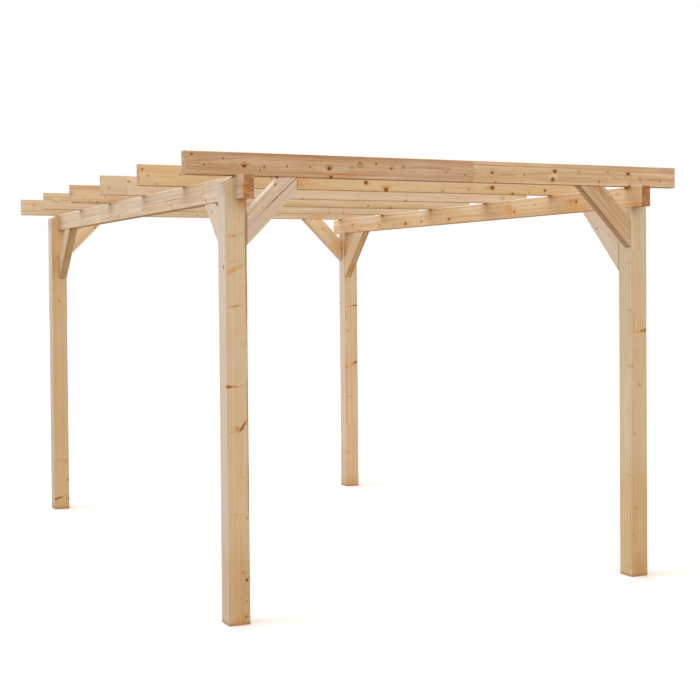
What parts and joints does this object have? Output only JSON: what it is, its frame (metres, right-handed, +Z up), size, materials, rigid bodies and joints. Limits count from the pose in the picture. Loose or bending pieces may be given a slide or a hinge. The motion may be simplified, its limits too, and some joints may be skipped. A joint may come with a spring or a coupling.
{
  "type": "free-standing wooden garden pergola",
  "caption": "Open garden pergola of planed spruce: square posts, notched-in side beams, rafters laid across them and diagonal knee braces, with no roof or walls.",
  "frame": {"origin": "on the ground, at the middle of the plan between the four posts", "axes": "+Z up; Y runs along the two side beams, with the front at -Y; X runs along the rafters, with left at -X"},
  "size_m": [3.05, 4.33, 2.42],
  "materials": {
    "post_timber": "planed, untreated",
    "beam_timber": "planed, untreated",
    "rafter_timber": "planed, untreated",
    "brace_timber": "planed, untreated"
  },
  "bodies": {
    "root": {"post_front_left": "post_timber", "post_front_right": "post_timber", "post_back_left": "post_timber", "post_back_right": "post_timber", "beam_left": "beam_timber", "beam_right": "beam_timber", "rafter_1": "rafter_timber", "rafter_2": "rafter_timber", "rafter_3": "rafter_timber", "rafter_4": "rafter_timber", "rafter_5": "rafter_timber", "rafter_6": "rafter_timber", "brace_rafter_front_left": "brace_timber", "brace_rafter_front_right": "brace_timber", "brace_rafter_back_left": "brace_timber", "brace_rafter_back_right": "brace_timber", "brace_beam_front_left": "brace_timber", "brace_beam_front_right": "brace_timber", "brace_beam_back_left": "brace_timber", "brace_beam_back_right": "brace_timber"}
  },
  "joints": []
}
